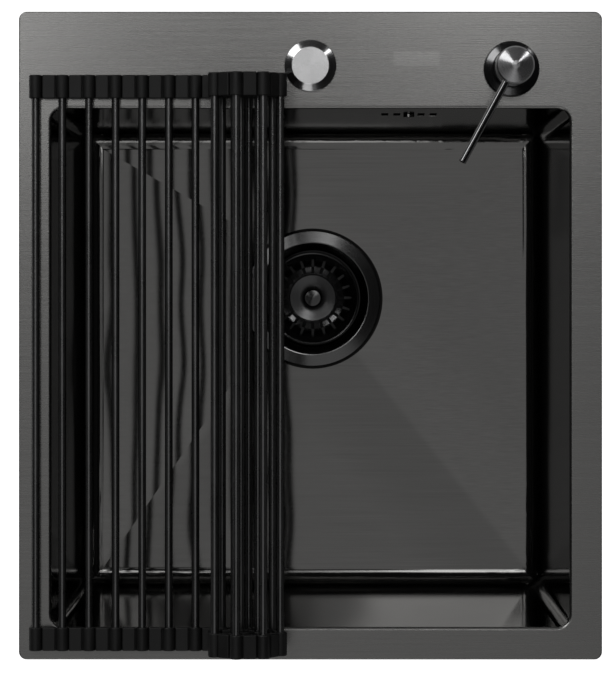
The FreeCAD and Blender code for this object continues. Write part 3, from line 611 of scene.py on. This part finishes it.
# %% Tree helpers
def repeat(tree, count, start, step, shape):
    line = add(tree, "GeometryNodeMeshLine", {"Count": count, "Start Location": start, "Offset": step})
    inputs = {"Points": line.outputs["Mesh"], "Instance": shape}
    return add(tree, "GeometryNodeInstanceOnPoints", inputs).outputs["Instances"]


def cuboid(tree, length, width, height):
    size = combine(tree, length, width, height)
    return add(tree, "GeometryNodeMeshCube", {"Size": size}).outputs["Mesh"]


def close_shape(tree, geometry, material):
    plain = add(tree, "GeometryNodeRealizeInstances", {"Geometry": geometry}).outputs["Geometry"]
    painted = add(tree, "GeometryNodeSetMaterial", {"Geometry": plain, "Material": material})
    close_group(tree, {"Geometry": painted.outputs["Geometry"]})


print("helpers: repeat, cuboid, close_shape")

# %% Strip tree
INTEGER = "NodeSocketInt"
MATERIAL = "NodeSocketMaterial"
SHAPE = [("Geometry", "NodeSocketGeometry")]
strip, size = new_group(
    "GeometryNodeTree", "silicone_strip",
    [("Lobes", INTEGER, 1), ("Blocks", INTEGER, 1), ("First block", INTEGER, 0), ("Pitch", FLOAT, 0.0205),
     ("Lobe radius", FLOAT, 0.005), ("Block length", FLOAT, 0.010), ("Block height", FLOAT, 0.006),
     ("Web height", FLOAT, 0.0024), ("Width", FLOAT, 0.018), ("Material", MATERIAL, None)],
    SHAPE)
one_pitch = combine(strip, size["Pitch"])
skipped = number(strip, "MULTIPLY", size["Pitch"], size["First block"])
print("strip sizes:", len(size) - 1)

# %% [markdown]
# A lobe is a cylinder laid along the tube. A block sits half a pitch before its lobe, and a web ends in the
# middle of it. The flat strip skips the first block, because nothing stands before its first tube.
# Instances keep the tree light while it works, and Realize Instances turns them into faces at the end.

# %% Lobes, blocks and webs
upright = add(strip, "GeometryNodeMeshCylinder", {
    "Vertices": 32, "Radius": size["Lobe radius"], "Depth": size["Width"]})
lobe = add(strip, "GeometryNodeTransform", {
    "Geometry": upright.outputs["Mesh"], "Rotation": (math.pi / 2, 0.0, 0.0)}).outputs["Geometry"]
block = cuboid(strip, size["Block length"], size["Width"], size["Block height"])
block_start = number(strip, "ADD", number(strip, "MULTIPLY", size["Pitch"], -0.5), skipped)
web_length = number(strip, "SUBTRACT", size["Pitch"], size["Lobe radius"])
web = cuboid(strip, web_length, size["Width"], size["Web height"])
web_start = number(strip, "ADD", number(strip, "MULTIPLY", web_length, -0.5), skipped)
together = add(strip, "GeometryNodeJoinGeometry")
for count, start, shape in (("Lobes", 0.0, lobe), ("Blocks", block_start, block), ("Blocks", web_start, web)):
    copies = repeat(strip, size[count], combine(strip, start), one_pitch, shape)
    strip.links.new(copies, together.inputs["Geometry"])
close_shape(strip, together.outputs["Geometry"], size["Material"])


# %% [markdown]
# A tree only becomes a piece when its result is copied into a plain mesh. The modifier could stay live on
# the object, but a plain mesh is what other programs can read. The first helper sets the named sizes,
# evaluates the tree once and returns the mesh. The others put a mesh into the scene and round its edges, as
# a mould does.

# %% From a tree to a mesh
def grow(tree, name, values):
    holder = bpy.data.objects.new(name + "_seed", bpy.data.meshes.new(name + "_seed"))
    bpy.context.scene.collection.objects.link(holder)
    modifier = holder.modifiers.new("grow", "NODES")
    modifier.node_group = tree
    for item in tree.interface.items_tree:
        if item.in_out == "INPUT" and item.name in values:
            modifier[item.identifier] = values[item.name]
    bpy.context.view_layer.update()
    evaluated = holder.evaluated_get(bpy.context.evaluated_depsgraph_get())
    mesh = bpy.data.meshes.new_from_object(evaluated)
    bpy.data.objects.remove(holder)
    mesh.name = name
    return mesh


print("helper: grow")

# %% From a mesh to a piece
SOFT_EDGE = 0.0008


def shown(name, mesh):
    piece = bpy.data.objects.new(name, mesh)
    bpy.context.scene.collection.objects.link(piece)
    return piece


def soften(piece):
    edge = piece.modifiers.new("soft_edges", "BEVEL")
    edge.width = SOFT_EDGE
    edge.segments = 2
    edge.limit_method = "ANGLE"
    edge.angle_limit = math.radians(40)


print("soft edges:", SOFT_EDGE * 1000, "mm")

# %% [markdown]
# The mat's own sizes are read from the model. The strip's box gives its width and the radius of a lobe. A
# link of the roll reaches from its hinge to its tube, which is one pitch, so the number of pitches in the
# flat run can be counted and need not be typed.

# %% Measure the mat
strip_low, strip_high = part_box("mat_strip_back")
lobe_radius = (strip_high.z - strip_low.z) / 2
hinges = {j["child"]: Vector(j["pos_m"]) for j in frame["joints"] if j["child"].startswith("mat_roll")}
tubes = {body: middle("mat_tube_" + body.rsplit("_", 1)[1]) for body in hinges}
link_reaches = [(tubes[body] - hinge).xz.length for body, hinge in hinges.items()]
flat_run = strip_high.x - strip_low.x - 2 * lobe_radius
flat_gaps = round(flat_run / max(link_reaches))
strip_sizes = {
    "Width": strip_high.y - strip_low.y, "Lobe radius": lobe_radius, "Pitch": flat_run / flat_gaps,
    "Material": silicone_finish}
print("flat tubes:", flat_gaps + 1, "pitch", round(strip_sizes["Pitch"], 4))

# %% [markdown]
# One strip closes the front ends of the flat tubes and one the back ends. Two objects could share one mesh,
# but here a finished piece keeps its place in its mesh and its object stays at the origin. So the tree is
# grown once for each end, and the mesh is moved there.

# %% Flat strips at both ends of the mat
flat_counts = {"Lobes": flat_gaps + 1, "Blocks": flat_gaps, "First block": 1}
for side in ("front", "back"):
    node = "mat_strip_" + side
    flat_mesh = grow(strip, "strip_" + side, {**strip_sizes, **flat_counts})
    flat_mesh.transform(Matrix.Translation((strip_low.x + lobe_radius, middle(node).y, middle(node).z)))
    flat_strip = shown("silicone_strip_" + side, flat_mesh)
    soften(flat_strip)
    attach(flat_strip, "mat_flat")
    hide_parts(node)
print("flat strips: 2")

# %% [markdown]
# In the roll every link points its own way. The angles could be worked out from a spiral, but the model
# already holds them: the joint gives the point a link turns about, and the tube's box gives where it ends.
# Both ends of a link move as one body, so they are joined in one mesh.

# %% Links of the roll
for body, hinge in hinges.items():
    link_name = "silicone_link_" + body.rsplit("_", 1)[1]
    tube = tubes[body]
    heading = math.atan2(tube.z - hinge.z, tube.x - hinge.x)
    both_ends = bmesh.new()
    for end in ("mat_strip_front", "mat_strip_back"):
        end_mesh = grow(strip, "link_end", strip_sizes)
        end_place = Matrix.Translation((tube.x, middle(end).y, tube.z))
        end_mesh.transform(end_place @ Matrix.Rotation(-heading, 4, "Y"))
        both_ends.from_mesh(end_mesh)
        bpy.data.meshes.remove(end_mesh)
    link_mesh = bpy.data.meshes.new(link_name)
    both_ends.to_mesh(link_mesh)
    both_ends.free()
    link_mesh.materials.append(silicone_finish)
    link = shown(link_name, link_mesh)
    soften(link)
    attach(link, body)
    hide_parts(link_name.replace("silicone_link", "mat_link"))
print("rolled links:", len(hinges))

# %% [markdown]
# ## Spring of the pump
# Pressing the pump closes the spring under its stem. A Screw modifier could wind the wire, but its sizes
# would be tied to a drawn profile. A spiral curve with a round section needs only the sizes that a spring
# maker would give: turns, radius, height and wire.

# %% Spring tree
coil, size = new_group(
    "GeometryNodeTree", "round_spring",
    [("Turns", FLOAT, 4.0), ("Radius", FLOAT, 0.006), ("Height", FLOAT, 0.03), ("Wire", FLOAT, 0.0006),
     ("Material", MATERIAL, None)],
    SHAPE)
spiral = add(coil, "GeometryNodeCurveSpiral", {
    "Resolution": 32, "Rotations": size["Turns"], "Height": size["Height"],
    "Start Radius": size["Radius"], "End Radius": size["Radius"]})
section = add(coil, "GeometryNodeCurvePrimitiveCircle", {"Resolution": 12, "Radius": size["Wire"]})
swept = add(coil, "GeometryNodeCurveToMesh", {
    "Curve": spiral.outputs["Curve"], "Profile Curve": section.outputs["Curve"], "Fill Caps": True})
close_shape(coil, swept.outputs["Mesh"], size["Material"])

# %% [markdown]
# The spring stands on the pump body and is as long as the solid that it takes the place of.

# %% Spring under the stem
WIRE_RADIUS = 0.0006
TURN_PITCH = 0.0068
spring_low, spring_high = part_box("pump_spring")
spring_size = spring_high - spring_low
spring_sizes = {
    "Radius": spring_size.x / 2 - WIRE_RADIUS, "Height": spring_size.z - 2 * WIRE_RADIUS, "Wire": WIRE_RADIUS,
    "Turns": (spring_size.z - 2 * WIRE_RADIUS) / TURN_PITCH, "Material": zinc_finish}
spring_mesh = grow(coil, "pump_spring_coil", spring_sizes)
foot = Vector((middle("pump_spring").x, middle("pump_spring").y, spring_low.z))
spring_mesh.transform(Matrix.Translation(foot + Vector((0.0, 0.0, WIRE_RADIUS))))
spring = shown("pump_spring_coil", spring_mesh)
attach(spring, "sink")
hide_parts("pump_spring")
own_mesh(spring)


# %% [markdown]
# ## Studio
# Dark polished metal shows what stands around it more than its own colour, so the room matters as much as
# the finish. A white room would wash the sink out, and a black one would leave a hole in the picture. The
# floor and the backdrop are therefore white to the camera only: the Light Path node tells a camera ray from
# a reflected one.

# %% Studio floor
FLOOR_REACH = 6.0
FLOOR_GAP = 0.001
WHITE = (1.0, 1.0, 1.0, 1.0)


def white_for_camera(tree, elsewhere):
    camera_ray = add(tree, "ShaderNodeLightPath").outputs["Is Camera Ray"]
    return remap(tree, camera_ray, elsewhere, 1.0)


floor_mesh = bpy.data.meshes.new("studio_floor")
floor_corners = [(x * FLOOR_REACH, y * FLOOR_REACH, 0.0) for x, y in ((-1, -1), (1, -1), (1, 1), (-1, 1))]
floor_mesh.from_pydata(floor_corners, [], [(0, 1, 2, 3)])
floor_mesh.transform(Matrix.Translation((0.0, 0.0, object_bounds()[0].z - FLOOR_GAP)))
floor_finish, floor_tree, floor_shader, floor_where = start_material(
    "pale_floor", Roughness=0.9, Emission_Color=WHITE)
paper = effect(floor_tree, skin, {"Vector": floor_where, "Pebble": 60.0, "Patch": 0.6})
paper_colour = shade(floor_tree, paper["Dust"], (0.86, 0.86, 0.86), (0.90, 0.90, 0.90))
floor_tree.links.new(paper_colour, floor_shader.inputs["Base Color"])
floor_tree.links.new(white_for_camera(floor_tree, 0.0), floor_shader.inputs["Emission Strength"])
floor_mesh.materials.append(floor_finish)
floor = shown("studio_floor", floor_mesh)
print("studio floor:", 2 * FLOOR_REACH, "m square")

# %% [markdown]
# The backdrop fills what the floor leaves open. Its strength off camera is small but not zero, so that no
# wall of the bowl goes quite black. The Standard view keeps white paper white, where a film-like view would
# grey it.

# %% Backdrop
DIM = 0.01
world = bpy.data.worlds.new("studio")
bpy.context.scene.world = world
world.use_nodes = True
backdrop = world.node_tree.nodes["Background"]
backdrop.inputs["Color"].default_value = WHITE
world.node_tree.links.new(white_for_camera(world.node_tree, DIM), backdrop.inputs["Strength"])
bpy.context.scene.view_settings.view_transform = "Standard"
print("backdrop off camera:", DIM)


# %% [markdown]
# ## Lights
# Seen from above, the deck and the bowl's floor mirror the ceiling, so the ceiling is what draws the soft
# steps of grey on them. A single large softbox would make the sheet one flat grey. Here the ceiling is laid
# with light tiles in rows from front to back. The front row is wide and dim, and the rows behind it are
# bright at the sides and dark in the middle. Each tile is set by its glow, and the watts follow from its
# area.

# %% One soft light
def soft_light(name, where, aim, size, watts):
    data = bpy.data.lights.new(name, "AREA")
    data.shape = "RECTANGLE"
    data.size, data.size_y = size
    data.energy = watts
    lamp = bpy.data.objects.new(name, data)
    lamp.location = where
    lamp.rotation_euler = (Vector(aim) - Vector(where)).to_track_quat("-Z", "Y").to_euler()
    bpy.context.scene.collection.objects.link(lamp)


print("helper: soft_light")

# %% Ceiling tiles
CEILING_HEIGHT = 2.75
# A row is its front edge, its back edge and its tiles, each a name, a left edge, a right edge and a glow
ceiling_rows = (
    (-3.0, 0.10, (("ceiling", -1.3, 0.80, 0.305),)),
    (0.10, 0.30, (
        ("ceiling_left", -1.3, -0.55, 0.30), ("ceiling_dark", -0.55, -0.25, 0.03),
        ("ceiling_right", -0.25, 0.80, 0.30))),
    (0.30, 0.55, (
        ("near_left", -0.95, -0.47, 3.0), ("near_middle", -0.47, 0.20, 0.05),
        ("near_right", 0.20, 0.45, 1.7))),
    (0.55, 0.90, (
        ("middle_left", -0.95, -0.30, 1.7), ("middle_middle", -0.30, -0.04, 0.25),
        ("middle_blend", -0.04, 0.08, 1.1), ("middle_right", 0.08, 0.45, 3.2))),
    (0.90, 1.35, (
        ("far_left", -0.95, -0.20, 1.6), ("far_middle", -0.20, -0.04, 0.5), ("far_blend", -0.04, 0.08, 0.7),
        ("far_right", 0.08, 0.45, 1.2))),
)
for front, back, tiles in ceiling_rows:
    for name, left, right, glow in tiles:
        across, deep = right - left, back - front
        x, y = (left + right) / 2, (front + back) / 2
        soft_light(
            name, (x, y, CEILING_HEIGHT), (x, y, 0.0), (across, deep), glow * math.pi * across * deep)
print("ceiling tiles:", sum(len(tiles) for _, _, tiles in ceiling_rows))

# %% [markdown]
# The round fittings look sideways as well as up. Two panels behind the sink and a card in front of it draw
# the bright edges on the pump, the cover and the strainer's flange. Four low panels, one on each side of
# the room, give the walls of the bowl something faint to mirror.

# %% Panels round the sink
SINK = (0.0, 0.0, 0.0)
FITTINGS = (0.0, 0.1, 0.0)
LOW_PANEL = (4.0, 1.6)
# A panel is a name, a place, a point to aim at, a size and its watts
panels = (
    ("left_panel", (-1.9, 2.1, 2.4), FITTINGS, (1.6, 1.6), 32.0),
    ("right_strip", (1.9, 1.9, 2.4), (0.1, 0.1, 0.0), (0.3, 1.6), 9.0),
    ("front_card", (-0.5, -3.0, 2.3), FITTINGS, (1.4, 0.9), 4.7),
    ("front_panel", (0.0, -4.0, 1.0), SINK, LOW_PANEL, 11.0),
    ("back_panel", (0.0, 4.0, 1.0), SINK, LOW_PANEL, 11.0),
    ("left_wall", (-4.0, 0.0, 1.0), SINK, LOW_PANEL, 1.2),
    ("right_wall", (4.0, 0.0, 1.0), SINK, LOW_PANEL, 1.2),
)
for panel in panels:
    soft_light(*panel)
print("panels:", len(panels))

# %% [markdown]
# ## Camera
# The portrait is taken from straight above with a long lens. Turning the camera would make the deck's edges
# converge, so it looks straight down from a point a little right of and behind the middle of the deck, and
# the lens is shifted to take in the whole sink.

# %% Camera
CAMERA_FOOT = (0.0189, 0.0683)
CAMERA_HEIGHT = 2.3
camera_data = bpy.data.cameras.new("overhead")
camera_data.lens = 159.0
camera_data.sensor_width = 36.0
camera_data.shift_x = -0.0407
camera_data.shift_y = -0.134
camera_data.clip_end = 50.0
camera = bpy.data.objects.new("overhead", camera_data)
camera.location = (*CAMERA_FOOT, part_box("sink_deck")[1].z + CAMERA_HEIGHT)
bpy.context.scene.collection.objects.link(camera)
bpy.context.scene.camera = camera
print("camera at", [round(v, 3) for v in camera.location])
